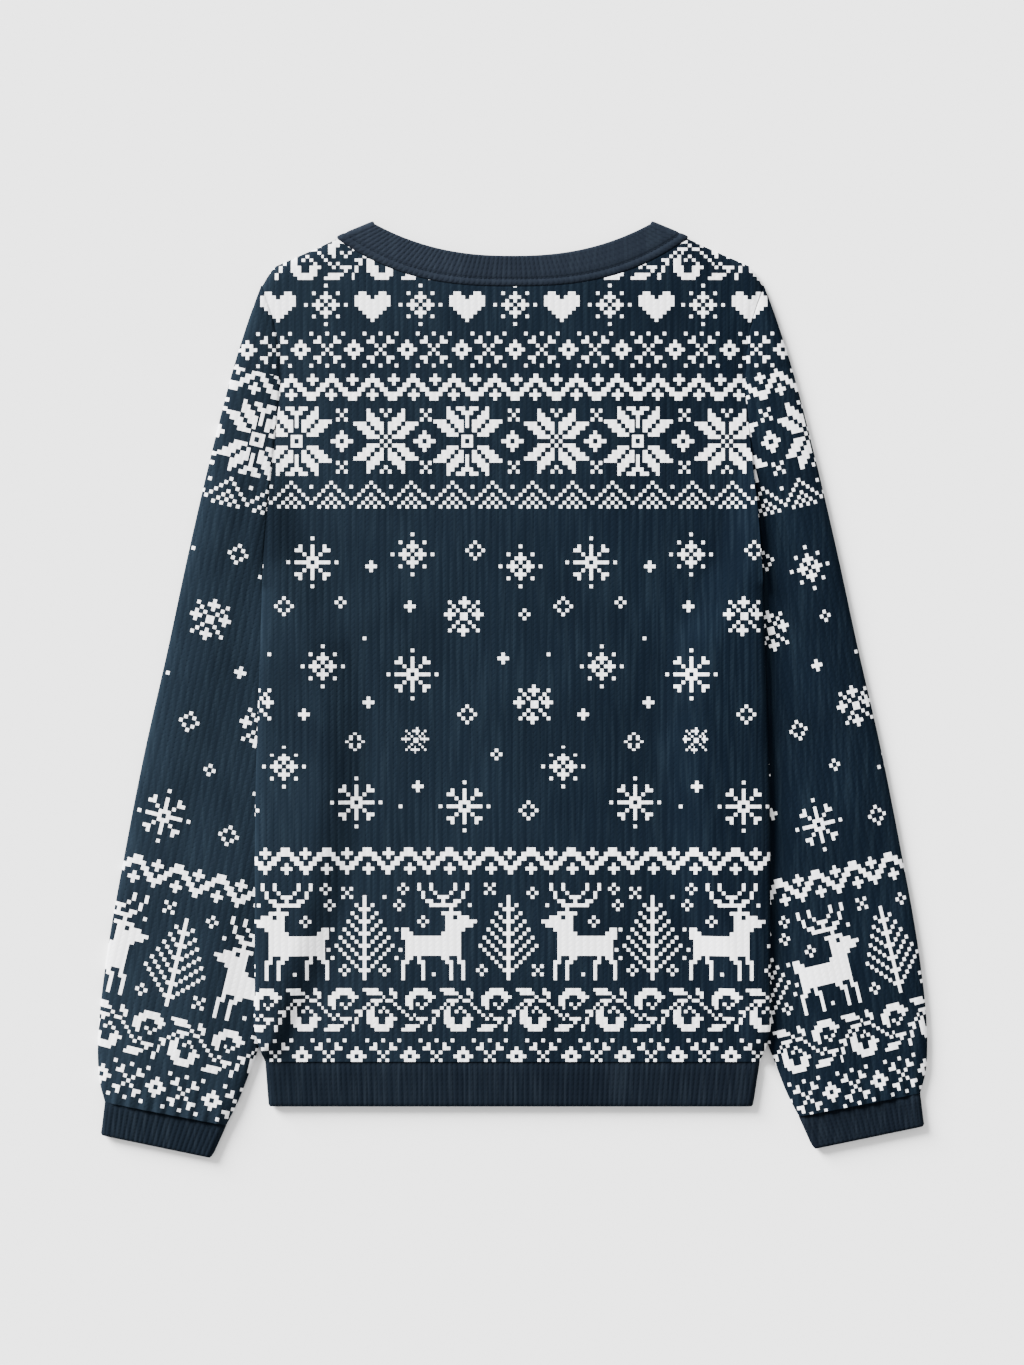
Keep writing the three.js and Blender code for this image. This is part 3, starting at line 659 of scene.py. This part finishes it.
def bandTube(name, width, place, rows, ribRise=None):
    # place(s, t) gives x and y in mm, s across from 0 to 1 and t from seam to free edge
    rise = band["ribRise"] if ribRise is None else ribRise
    count = int(width / band["rib"]) * band["perRib"]
    ends = band["sidePoints"]
    across = (1 - np.cos(np.linspace(0, math.pi, 2 * ends + 1))) / 2 * band["roundWidth"] / width
    middle = np.linspace(across[ends], 1 - across[ends], count)
    s = np.concatenate([across[:ends], middle, 1 - across[:ends][::-1]])
    t = np.concatenate([[0], np.linspace(0.03, 0.9, rows), [0.94, 0.97, 0.985, 1]])
    gridS, gridT = np.meshgrid(s, t)
    x, y = place(gridS, gridT)
    side = roundOver(np.minimum(gridS, 1 - gridS) * width, band["roundWidth"])
    free = roundOver((1 - gridT) * band["height"] + band["blunt"], band["freeRound"])
    half = band["thick"] / 2
    ridge = waleRidge(gridS * width, band["rib"], rise) * smooth(1 - gridT, -0.02, 0.05) * side
    seam = -band["seamDip"] * np.exp(-(gridT * band["height"] / band["seamWidth"]) ** 2)
    upper = half + (half - rise) * side * free + ridge + seam
    lower = half - half * side * np.where(gridT > 0.97, free, 1)
    points, faces, uvs = [], [], []
    for index, z in enumerate((upper, lower)):
        points.append(np.stack([x, y, z], axis=-1).reshape(-1, 3))
        faces.append(gridFaces(*x.shape, start=index * x.size, under=index == 1))
        uvs.append(np.stack([gridS.reshape(-1) * width / band["rib"], gridT.reshape(-1) * 9], axis=1))
    points = np.concatenate(points)
    faces = np.concatenate(faces)
    first = faces[0]
    edges = points[first[1]] - points[first[0]]
    turn = points[first[3]] - points[first[0]]
    if edges[0] * turn[1] - edges[1] * turn[0] < 0:
        faces = faces[:, ::-1]
    return meshPiece(name, points, faces, np.concatenate(uvs))


hem = {"half": 193.2, "freeLeft": 190.6, "freeRight": 187.9, "height": 35.1, "width": 380}


def hemBand():
    def place(s, t):
        free = np.where(s < 0.5, hem["freeLeft"], hem["freeRight"])
        half = hem["half"] + (free - hem["half"]) * t
        seam = body["hemSeam"] + band["underlap"] * (t < 0.01) - body["seamGap"]
        y = seam - (hem["height"] - body["seamGap"]) * t
        corner = 1.2 * smooth(np.abs(2 * s - 1), 0.99, 1) ** 2 * smooth(t, 0.8, 1)
        return half * (2 * s - 1), y + corner + sweaterShift
    return bandTube("hemBand", hem["width"], place, 9)


cuff = {"seamOuter": (318.6, -319.0), "seamInner": (223.5, -337.0), "freeOuter": (321.7, -344.6),
        "freeInner": (235.0, -362.6),
        "width": 92, "ribRise": 0.34}


def cuffBand(name, side):
    def between(axis, s, t):
        outer = (1 - t) * cuff["seamOuter"][axis] + t * cuff["freeOuter"][axis]
        inner = (1 - t) * cuff["seamInner"][axis] + t * cuff["freeInner"][axis]
        return (1 - s) * outer + s * inner

    def place(s, t):
        x, y = between(0, s, t), between(1, s, t)
        corner = 1.4 * smooth(np.abs(2 * s - 1), 0.95, 1) ** 2 * smooth(t, 0.8, 1)
        y = y + band["underlap"] * (t < 0.01) - body["seamGap"] + corner
        return side * x, y + side * sleeve["rise"] + sweaterShift
    return bandTube(name, cuff["width"], place, 9, cuff["ribRise"])


neckCloth = {"thick": 2.0, "sunk": 0.6, "rib": band["rib"] * 0.97, "ribRise": 0.2, "backSteps": 340,
             "frontSteps": 120, "frontStep": 2.2, "turnSteps": 10, "turnRidge": 0.3, "stripFrom": 0.7,
             "stripRidge": 0.35}
# across the band: 0 is the opening edge, 1 the seam; the last quarter is the sewn strip
neckProfile = [(-0.03, 0.0), (-0.015, 0.7), (0.03, 0.95)] + [(w, 1) for w in np.linspace(0.09, 0.66, 8)]
neckProfile += [(0.7, 0.86), (0.725, 0.62), (0.75, 0.55), (0.775, 0.68), (0.8, 0.9), (0.86, 1), (0.93, 0.92)]
neckProfile += [(0.975, 0.62), (1, 0.2), (1, -1), (0.5, -1), (0.05, -1), (-0.02, -0.6)]


def neckEdges(depth, openPower, seamPower, w):
    near = abs(w)
    openY = neck["openMid"] - depth + (neck["openDrop"] + depth) * near ** openPower
    seamY = neck["seamMid"] - depth + (neck["seamDrop"] + depth) * near ** seamPower
    return np.array((w * neck["openHalf"], openY)), np.array((w * neck["seamHalf"], seamY))


def neckSections():
    # opening edge, seam, height, direction outwards, way round the band, strength of the ribs
    thick = neckCloth["thick"]
    upperMid, lowerMid = body["thick"] - thick / 2 - neckCloth["sunk"], thick / 2
    turnRadius = (upperMid - lowerMid) / 2

    def turned(side, along):
        opening, seam = neckEdges(0, neck["openPower"], neck["backPower"], side)
        line = seam - opening
        away = np.array([side * abs(line[1]), abs(line[0])]) / np.linalg.norm(line)
        found = []
        for i in range(1, neckCloth["turnSteps"]):
            angle = math.pi / 2 - math.pi * i / neckCloth["turnSteps"]
            shift = away * turnRadius * math.cos(angle)
            normal = (away[0] * math.cos(angle), away[1] * math.cos(angle), math.sin(angle))
            height = lowerMid + turnRadius + turnRadius * math.sin(angle)
            found.append((opening + shift, seam + shift, height, normal, along, neckCloth["turnRidge"]))
        return found

    sections, along, last = [], 0.0, None
    for i in range(neckCloth["backSteps"] + 1):
        share = 1 - 2 * i / neckCloth["backSteps"]
        opening, seam = neckEdges(0, neck["openPower"], neck["backPower"], share)
        middle = (opening + seam) / 2
        along += 0 if last is None else float(np.linalg.norm(middle - last))
        last = middle
        sections.append((opening, seam, upperMid, (0, 0, 1), along, 1))
    sections.extend(turned(-1, along))
    for i in range(neckCloth["frontSteps"] + 1):
        share = -1 + 2 * i / neckCloth["frontSteps"]
        opening, seam = neckEdges(neck["frontDepth"], neck["frontOpenPower"], neck["frontPower"], share)
        along += neckCloth["frontStep"]
        sections.append((opening, seam, lowerMid, (0, 0, -1), along, 0))
    sections.extend(reversed(turned(1, along)))
    return sections


def neckBand():
    thick = neckCloth["thick"]
    sections = neckSections()
    points, uvs = [], []
    for opening, seam, height, normal, along, ribs in sections:
        ridge = float(waleRidge(np.array(along), neckCloth["rib"], neckCloth["ribRise"])) * ribs
        for share, level in neckProfile:
            flat = opening + (seam - opening) * share
            ribbed = 1 if share < neckCloth["stripFrom"] else neckCloth["stripRidge"]
            lift = level * thick / 2 + (ridge * ribbed if level > 0.3 else 0)
            y = flat[1] + normal[1] * lift + sweaterShift
            points.append((flat[0] + normal[0] * lift, y, height + normal[2] * lift))
            uvs.append((along / neckCloth["rib"], share * 6))
    index = np.arange(len(points)).reshape(len(sections), len(neckProfile))
    ringNext = np.roll(index, -1, axis=0)
    profileNext = np.roll(index, -1, axis=1)
    bothNext = np.roll(ringNext, -1, axis=1)
    faces = np.stack([corner.reshape(-1) for corner in (index, ringNext, bothNext, profileNext)], axis=1)
    return meshPiece("neckBand", np.array(points), faces, np.array(uvs))


pieces = {"back": backCloth(), "front": frontCloth()}
print("panels made")
pieces["sleeve_left"] = sleeveCloth("sleeveLeft")
pieces["sleeve_right"] = sleeveCloth("sleeveRight")
print("sleeves made")
pieces["hem_band"] = hemBand()
pieces["cuff_left"] = cuffBand("cuffLeft", -1)
pieces["cuff_right"] = cuffBand("cuffRight", 1)
pieces["neckband"] = neckBand()
print("bands made")

# Materials

class Value:
    def __init__(self, socket, shader):
        self.socket, self.shader = socket, shader

    def join(self, operation, other):
        return self.shader.node("ShaderNodeMath", {"operation": operation}, [self, other])

    def __add__(self, other):
        return self.join("ADD", other)

    def __sub__(self, other):
        return self.join("SUBTRACT", other)

    def __rsub__(self, other):
        return self.shader.node("ShaderNodeMath", {"operation": "SUBTRACT"}, [other, self])

    def __mul__(self, other):
        return self.join("MULTIPLY", other)

    def __pow__(self, other):
        return self.join("POWER", other)

    def __abs__(self):
        return self.shader.node("ShaderNodeMath", {"operation": "ABSOLUTE"}, [self])

    def fraction(self):
        return self.shader.node("ShaderNodeMath", {"operation": "FRACT"}, [self])

    def ramp(self, low, high, toLow=0.0, toHigh=1.0):
        settings = {"interpolation_type": "SMOOTHSTEP"}
        return self.shader.node("ShaderNodeMapRange", settings, [self, low, high, toLow, toHigh])


class Shader:
    def __init__(self, name):
        self.material = bpy.data.materials.new(name)
        self.material.use_nodes = True
        self.tree = self.material.node_tree
        self.surface = self.tree.nodes["Principled BSDF"]

    def node(self, kind, settings=None, values=(), out=0):
        made = self.tree.nodes.new(kind)
        for key, value in (settings or {}).items():
            setattr(made, key, value)
        pairs = values.items() if isinstance(values, dict) else enumerate(values)
        for key, value in pairs:
            self.feed(made.inputs[key], value)
        return Value(made.outputs[out], self)

    def feed(self, socket, value):
        if isinstance(value, Value):
            self.tree.links.new(value.socket, socket)
        elif value is not None:
            socket.default_value = value

    def mix(self, factor, first, second):
        return self.node("ShaderNodeMix", {"data_type": "RGBA"}, {0: factor, 6: first, 7: second}, out=2)

    def finish(self, values):
        for key, value in values.items():
            self.feed(self.surface.inputs[key], value)
        return self.material


def linear(red, green, blue):
    levels = [((v / 255 + 0.055) / 1.055) ** 2.4 if v > 10 else v / 255 / 12.92 for v in (red, green, blue)]
    return (*levels, 1.0)


# In each look, light and dark are the navy painted lit on the left and in painted shade on the right; deep
# and whiteDeep are navy and white in painted shade in the knit's hollows, deep also for random darker clouds;
# hollows sets how strong that painted shade is
knitLook = {"light": linear(20, 28, 36), "dark": linear(8, 16, 25), "deep": linear(4, 8, 15),
            "white": linear(238, 238, 240), "whiteDeep": linear(206, 207, 213), "bump": 0.35,
            "bumpHeight": 0.0007, "hollows": 0.5, "streak": linear(40, 52, 61)}
ribLook = {"light": linear(13, 19, 26), "dark": linear(11, 16, 23), "deep": linear(4, 7, 14),
           "bump": 0.35, "bumpHeight": 0.0007, "hollows": 0.3, "streak": linear(42, 50, 58)}
neckLook = dict(ribLook, light=linear(27, 32, 40), dark=linear(21, 26, 34))
grain = {"streak": (420.0, 22.0, 60.0), "patch": (70.0, 18.0, 30.0), "cloud": 14.0, "fuzz": 900.0}
shade = {"from": -0.3, "to": 0.17}  # painted light from the left: the navy is painted lighter on the left and darker to the right, across the garment, in metres


def stitchShape(shader, slant):
    # a wale and its stitches: 1 on the yarn's crown, 0 in the hollows between
    uv = shader.node("ShaderNodeUVMap", {"uv_map": "knit"})
    parts = shader.node("ShaderNodeSeparateXYZ", None, [uv])
    along = Value(parts.socket.node.outputs[1], shader)
    across = parts.fraction()
    fromMiddle = abs(across - 0.5) * 2
    leg = (along + fromMiddle * slant).fraction()
    loop = 1 - (abs(leg - 0.5) * 2) ** 3
    hollow = fromMiddle.ramp(0.55, 0.98) * loop.ramp(0.75, 0.2)
    crown = (1 - fromMiddle ** 2) * 0.5 + loop * 0.5
    return crown, hollow, fromMiddle


def clothMaterial(name, look, patterned):
    shader = Shader(name)
    crown, hollow, fromMiddle = stitchShape(shader, 0.55)
    place = shader.node("ShaderNodeTexCoord", None, (), out=3)
    streakPlace = shader.node("ShaderNodeVectorMath", {"operation": "MULTIPLY"}, [place, grain["streak"]])
    streak = shader.node("ShaderNodeTexNoise", None, {"Vector": streakPlace, "Scale": 1.0, "Detail": 2.0})
    patchPlace = shader.node("ShaderNodeVectorMath", {"operation": "MULTIPLY"}, [place, grain["patch"]])
    patches = shader.node("ShaderNodeTexNoise", None, {"Vector": patchPlace, "Scale": 1.0, "Detail": 2.0})
    cloud = shader.node("ShaderNodeTexNoise", None, {"Vector": place, "Scale": grain["cloud"], "Detail": 2.0})
    fuzz = shader.node("ShaderNodeTexNoise", None, {"Vector": place, "Scale": grain["fuzz"], "Detail": 3.0})
    # painted light from the left: across the garment's x the navy goes from the lit light colour to the
    # shaded dark colour
    side = Value(shader.node("ShaderNodeSeparateXYZ", None, [place]).socket.node.outputs[0], shader)
    depth = shader.node("ShaderNodeMapRange", None, [side, shade["from"], shade["to"], 0.0, 1.0])
    base = shader.mix(depth, look["light"], look["dark"])
    base = shader.mix(streak.ramp(0.4, 0.75, 0.0, 0.16), base, look["streak"])
    base = shader.mix(cloud.ramp(0.35, 0.75, 0.0, 0.3), base, look["deep"])
    # painted shade: the hollows between wales and stitches and each wale's edges are darkened towards deep,
    # by a patchy amount
    patchyShade = patches.ramp(0.38, 0.66, 0.1, 1.0)
    dark = (hollow * look["hollows"] + fromMiddle.ramp(0.72, 1.0, 0.0, 0.16)) * patchyShade
    colour = shader.mix(dark, base, look["deep"])
    if patterned:
        yarn = shader.node("ShaderNodeAttribute", {"attribute_name": "yarn"}, (), out=2)
        cuts = shader.node("ShaderNodeAttribute", {"attribute_name": "cuts"}, (), out=0)
        parts = shader.node("ShaderNodeSeparateColor", None, [cuts]).socket.node.outputs
        upper = Value(cuts.socket.node.outputs[3], shader)
        cellPlace = shader.node("ShaderNodeUVMap", {"uv_map": "cell"})
        cell = shader.node("ShaderNodeSeparateXYZ", None, [cellPlace]).socket.node.outputs
        column, row = Value(cell[0], shader).fraction(), Value(cell[1], shader).fraction()
        cut = 0.0
        for edge, distance in ((0, column), (1, 1 - column), (2, row)):
            cut = (Value(parts[edge], shader) - distance).ramp(-0.03, 0.03) + cut
        cut = cut + (upper - (1 - row)).ramp(-0.03, 0.03)
        # painted shade: the white yarn's hollows and wale edges are darkened towards whiteDeep, by the same
        # patchy amount
        whiteHollowShade = (hollow * 0.5 + fromMiddle.ramp(0.8, 1.0, 0.0, 0.25)) * patchyShade
        light = shader.mix(whiteHollowShade, look["white"], look["whiteDeep"])
        colour = shader.mix(yarn.ramp(0.4, 0.6) - cut, colour, light)
    height = crown * 0.75 + fuzz * 0.35
    relief = {"Strength": look["bump"], "Distance": look["bumpHeight"], "Height": height}
    bump = shader.node("ShaderNodeBump", None, relief)
    rough = fuzz.ramp(0.2, 0.8, 0.82, 0.98)
    values = {"Base Color": colour, "Roughness": rough, "Normal": bump, "Specular IOR Level": 0.02}
    return shader.finish(values)


knitMaterial = clothMaterial("patternedKnit", knitLook, True)
ribMaterial = clothMaterial("ribKnit", ribLook, False)
neckMaterial = clothMaterial("neckKnit", neckLook, False)
for node, piece in pieces.items():
    plain = neckMaterial if node == "neckband" else ribMaterial
    piece.data.materials.append(knitMaterial if "yarn" in piece.data.attributes else plain)
print("materials made")

# Stitches along the neckband's seam, by geometry nodes

# sizes in mm, and the place across the band from 0 at the opening to 1 at the seam
seamStitch = {"Spacing": 3.1, "Length": 2.3, "Width": 0.8, "across": 0.737, "height": 5.5, "steps": 160}


def stitchTree(material):
    tree = bpy.data.node_groups.new("seamStitches", "GeometryNodeTree")
    tree.interface.new_socket("Geometry", in_out="INPUT", socket_type="NodeSocketGeometry")
    sizes = {}
    for name in ("Spacing", "Length", "Width"):
        sizes[name] = tree.interface.new_socket(name, in_out="INPUT", socket_type="NodeSocketFloat")
    tree.interface.new_socket("Geometry", in_out="OUTPUT", socket_type="NodeSocketGeometry")

    def node(kind, links, settings=None):
        made = tree.nodes.new(kind)
        for key, value in (settings or {}).items():
            setattr(made, key, value)
        for key, value in links.items():
            if isinstance(value, bpy.types.NodeSocket):
                tree.links.new(value, made.inputs[key])
            else:
                made.inputs[key].default_value = value
        return made.outputs

    given = node("NodeGroupInput", {})
    curve = node("GeometryNodeMeshToCurve", {"Mesh": given["Geometry"]})
    spaced = {"Curve": curve["Curve"], "Length": given["Spacing"]}
    points = node("GeometryNodeCurveToPoints", spaced, {"mode": "LENGTH"})
    bead = node("GeometryNodeMeshIcoSphere", {"Radius": 0.5, "Subdivisions": 1})
    size = node("ShaderNodeCombineXYZ", {"X": given["Width"], "Y": given["Width"], "Z": given["Length"]})
    beads = node("GeometryNodeInstanceOnPoints", {"Points": points["Points"], "Instance": bead["Mesh"],
                                                  "Rotation": points["Rotation"], "Scale": size["Vector"]})
    real = node("GeometryNodeRealizeInstances", {"Geometry": beads["Instances"]})
    dressed = node("GeometryNodeSetMaterial", {"Geometry": real["Geometry"], "Material": material})
    node("NodeGroupOutput", {"Geometry": dressed["Geometry"]})
    return tree, sizes


def neckStitches(material):
    w = np.linspace(0.985, -0.985, seamStitch["steps"])
    near, share = np.abs(w), seamStitch["across"]
    opening = neck["openMid"] + neck["openDrop"] * near ** neck["openPower"]
    seam = neck["seamMid"] + neck["seamDrop"] * near ** neck["backPower"]
    x = w * (neck["openHalf"] + (neck["seamHalf"] - neck["openHalf"]) * share)
    y = opening + (seam - opening) * share + sweaterShift
    path = bpy.data.meshes.new("seamPath")
    places = np.stack([x, y, np.full_like(x, seamStitch["height"])], axis=1) * mm
    path.from_pydata(places.tolist(), [(i, i + 1) for i in range(len(w) - 1)], [])
    host = bpy.data.objects.new("seamPath", path)
    bpy.context.scene.collection.objects.link(host)
    tree, sizes = stitchTree(material)
    modifier = host.modifiers.new("stitches", "NODES")
    modifier.node_group = tree
    for name, socket in sizes.items():
        modifier[socket.identifier] = seamStitch[name] * mm
    graph = bpy.context.evaluated_depsgraph_get()
    mesh = bpy.data.meshes.new_from_object(host.evaluated_get(graph))
    host.modifiers.remove(modifier)
    bpy.data.objects.remove(host)
    stitches = bpy.data.objects.new("neckStitches", mesh)
    bpy.context.scene.collection.objects.link(stitches)
    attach(stitches, "root")
    return stitches


print("neck stitches", len(neckStitches(neckMaterial).data.polygons), "faces")

# Floor and light

studio = {"reach": 4.0, "floorZ": -0.0003, "floorGrey": 0.93, "world": 1.1, "sun": 21.5, "sunAngle": 30,
          "sunWay": (1.0, -0.95, -0.56)}


def floorAndLight():
    mesh = bpy.data.meshes.new("floor")
    reach = studio["reach"]
    corners = [(x * reach, y * reach, studio["floorZ"]) for x, y in ((-1, -1), (1, -1), (1, 1), (-1, 1))]
    mesh.from_pydata(corners, [], [(0, 1, 2, 3)])
    floor = bpy.data.objects.new("floor", mesh)
    bpy.context.scene.collection.objects.link(floor)
    shader = Shader("paleFloor")
    grey = studio["floorGrey"]
    mesh.materials.append(shader.finish({"Base Color": (grey, grey, grey, 1), "Roughness": 0.9}))
    world = bpy.data.worlds.new("studio")
    bpy.context.scene.world = world
    world.use_nodes = True
    background = world.node_tree.nodes["Background"]
    background.inputs["Color"].default_value = (1, 1, 1, 1)
    background.inputs["Strength"].default_value = studio["world"]
    data = bpy.data.lights.new("key", "SUN")
    data.energy, data.angle = studio["sun"], math.radians(studio["sunAngle"])
    light = bpy.data.objects.new("key", data)
    light.rotation_euler = Vector(studio["sunWay"]).to_track_quat("-Z", "Y").to_euler()
    bpy.context.scene.collection.objects.link(light)


floorAndLight()

# Flat sizes in metres, areas in square metres. Two areas are off: about 0.101 of each sleeve shows, all
# round, and the neckband's whole ring is 0.0153.

for node, piece in pieces.items():
    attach(piece, "root")
    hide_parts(node)

for node, piece in pieces.items():
    triangles = len(piece.data.loops) - 2 * len(piece.data.polygons)
    print(node, triangles, "triangles", round(sum(p.area for p in piece.data.polygons), 4), "m2")
